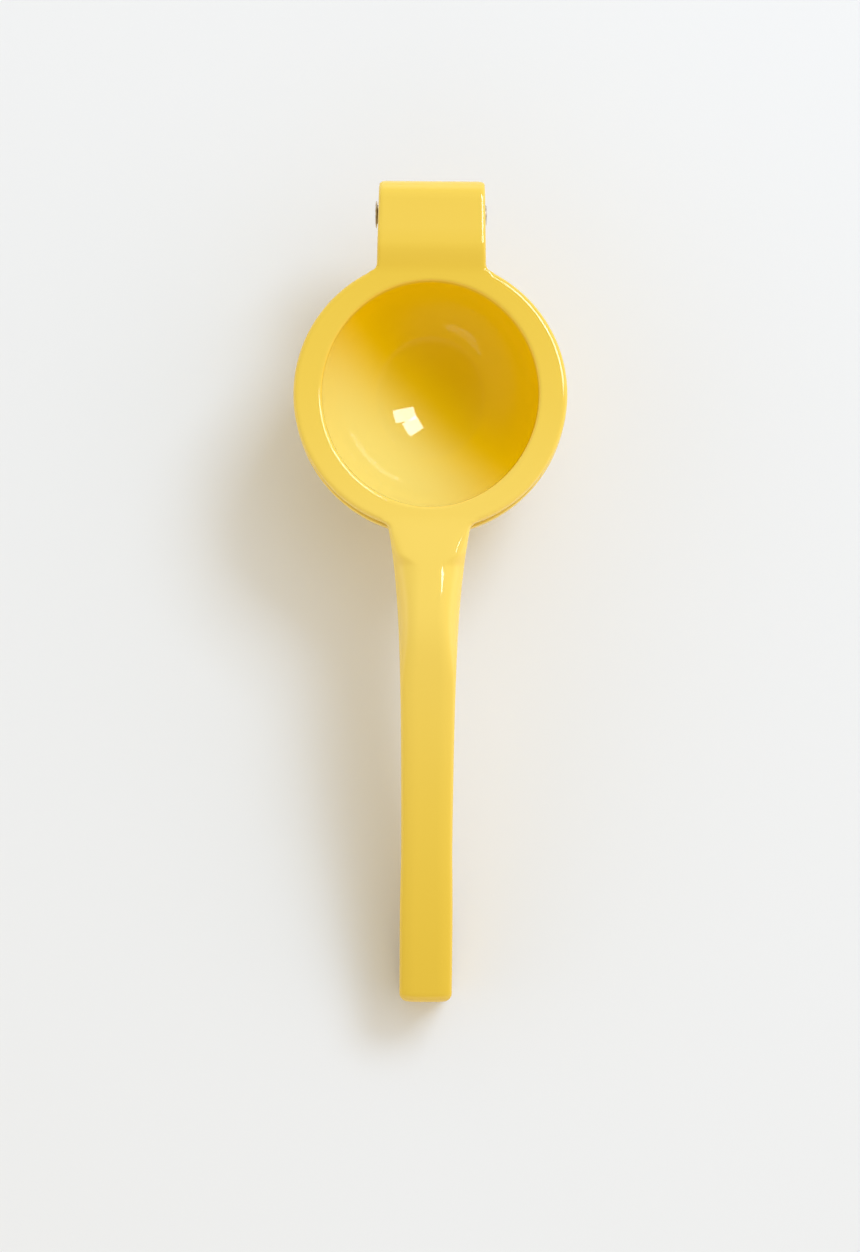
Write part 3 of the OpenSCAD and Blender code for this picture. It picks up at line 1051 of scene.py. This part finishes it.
aim, away = Vector((0.0, -0.03, 0.03)), 2.0
window_at, daylight = aim + from_zenith(46.0, 50.0) * away, (0.74, 0.93, 1.24)
window = lamp("window", window_at, aim, (0.90, 0.66), 16.2, daylight)
window.visible_glossy = False


def leaning(along_x, along_y):
    """A direction that leans off the zenith by degrees towards +X and +Y."""
    return from_zenith(math.hypot(along_x, along_y), math.degrees(math.atan2(along_y, along_x)))


# Each pane: the directions of the middles of two opposite sides, its breadth and its power
panes = (
    ("low_pane", (16.0, 13.6), (39.2, 19.8), 12.0, 15.5),
    ("high_pane", (10.8, 22.6), (25.8, 32.4), 14.5, 15.0),
)
glass_tint = (1.0, 0.92, 0.96)
for name, one_end, other_end, breadth, power in panes:
    first, second = leaning(*one_end), leaning(*other_end)
    facing = (first + second).normalized()
    size = ((second - first).length * away, math.radians(breadth) * away)
    pane = lamp(name, aim + facing * away, aim, size, power, glass_tint)
    side = (second - first - facing * (second - first).dot(facing)).normalized()
    pane.rotation_euler = Matrix((side, facing.cross(side), facing)).transposed().to_euler()
    pane.visible_diffuse = False

# %% Paint the room's light
world = bpy.context.scene.world or bpy.data.worlds.new("room")
bpy.context.scene.world = world
world.use_nodes = True
sky = world.node_tree
sky.nodes.clear()
out = add(sky, "ShaderNodeOutputWorld", 1400)
glow = add(sky, "ShaderNodeBackground", 1200)
direction = add(sky, "ShaderNodeTexCoord", -800).outputs["Generated"]


def glow_round(axis, sharpness, colour, y):
    """A soft patch of light round an axis, as a colour that fades with the angle."""
    dot = add(sky, "ShaderNodeVectorMath", -600, y, operation="DOT_PRODUCT")
    sky.links.new(direction, dot.inputs[0])
    dot.inputs[1].default_value = axis
    facing_it = math_node(sky, "MAXIMUM", dot.outputs["Value"], 0.0, -400, y)
    fade = math_node(sky, "POWER", facing_it, sharpness, -200, y)
    tint = add(sky, "ShaderNodeVectorMath", 0, y, operation="SCALE")
    tint.inputs[0].default_value = colour
    sky.links.new(fade, tint.inputs["Scale"])
    return tint.outputs["Vector"]


# Each patch: the direction of its middle, how sharply it fades and its colour
room_level = (0.31, 0.27, 0.16)
patches = (
    (from_zenith(80, 0), 4, (1.41, 1.21, 1.10)),
    (from_zenith(80, 90), 4, (1.02, 1.04, 1.16)),
    (from_zenith(80, 180), 4, (1.24, 1.19, 1.16)),
    (from_zenith(80, 270), 4, (1.16, 1.13, 1.14)),
    (from_zenith(30, 45), 12, (1.12, 1.32, 1.66)),
)
total = None
for row, (axis, sharpness, colour) in enumerate(patches):
    patch = glow_round(axis, sharpness, colour, -200 * row)
    join = add(sky, "ShaderNodeVectorMath", 200 + 150 * row, -200 * row, operation="ADD")
    sky.links.new(patch, join.inputs[0])
    if total is None:
        join.inputs[1].default_value = room_level
    else:
        sky.links.new(total, join.inputs[1])
    total = join.outputs["Vector"]
sky.links.new(total, glow.inputs["Color"])
height = add(sky, "ShaderNodeSeparateXYZ", 200, 300)
sky.links.new(direction, height.inputs["Vector"])
upper_dark = mapped(sky, height.outputs["Z"], 0.10, 0.55, 0.0, 0.92, 400, 300)
ray = add(sky, "ShaderNodeLightPath", 400, 600)
dimmed = math_node(sky, "MULTIPLY", ray.outputs["Is Glossy Ray"], upper_dark, 700, 400)
sky.links.new(math_node(sky, "SUBTRACT", 1.0, dimmed, 900, 300), glow.inputs["Strength"])
sky.links.new(glow.outputs[0], out.inputs["Surface"])

# %% [markdown]
# ## Camera
#
# The view is from above, from a little on the handle's side, through a long lens, so that the
# edge of the lower casting just shows past the rim there.

# %% Set the camera
camera_data = bpy.data.cameras.new("camera")
camera_data.sensor_width = 36.0
camera_data.lens = 36.0 * 2.13  # the longer side of the picture spans 26.4 degrees
camera = bpy.data.objects.new("camera", camera_data)
lean, roll, distance = math.radians(3.0), math.radians(0.46), 0.7
target = Vector((0.0004, -0.06147, rim_top * MM))
back = Vector((0, -math.sin(lean), math.cos(lean)))
up = Vector((0, math.cos(lean), math.sin(lean)))
right = up.cross(back)
turn = Matrix((right, up, back)).transposed().to_4x4()
stand = Matrix.Translation(target + back * distance)
camera.matrix_world = stand @ turn @ Matrix.Rotation(roll, 4, "Z")
bpy.context.scene.collection.objects.link(camera)
bpy.context.scene.camera = camera
bpy.context.scene.view_settings.view_transform = "Standard"
print("camera at", [round(v, 4) for v in camera.location])
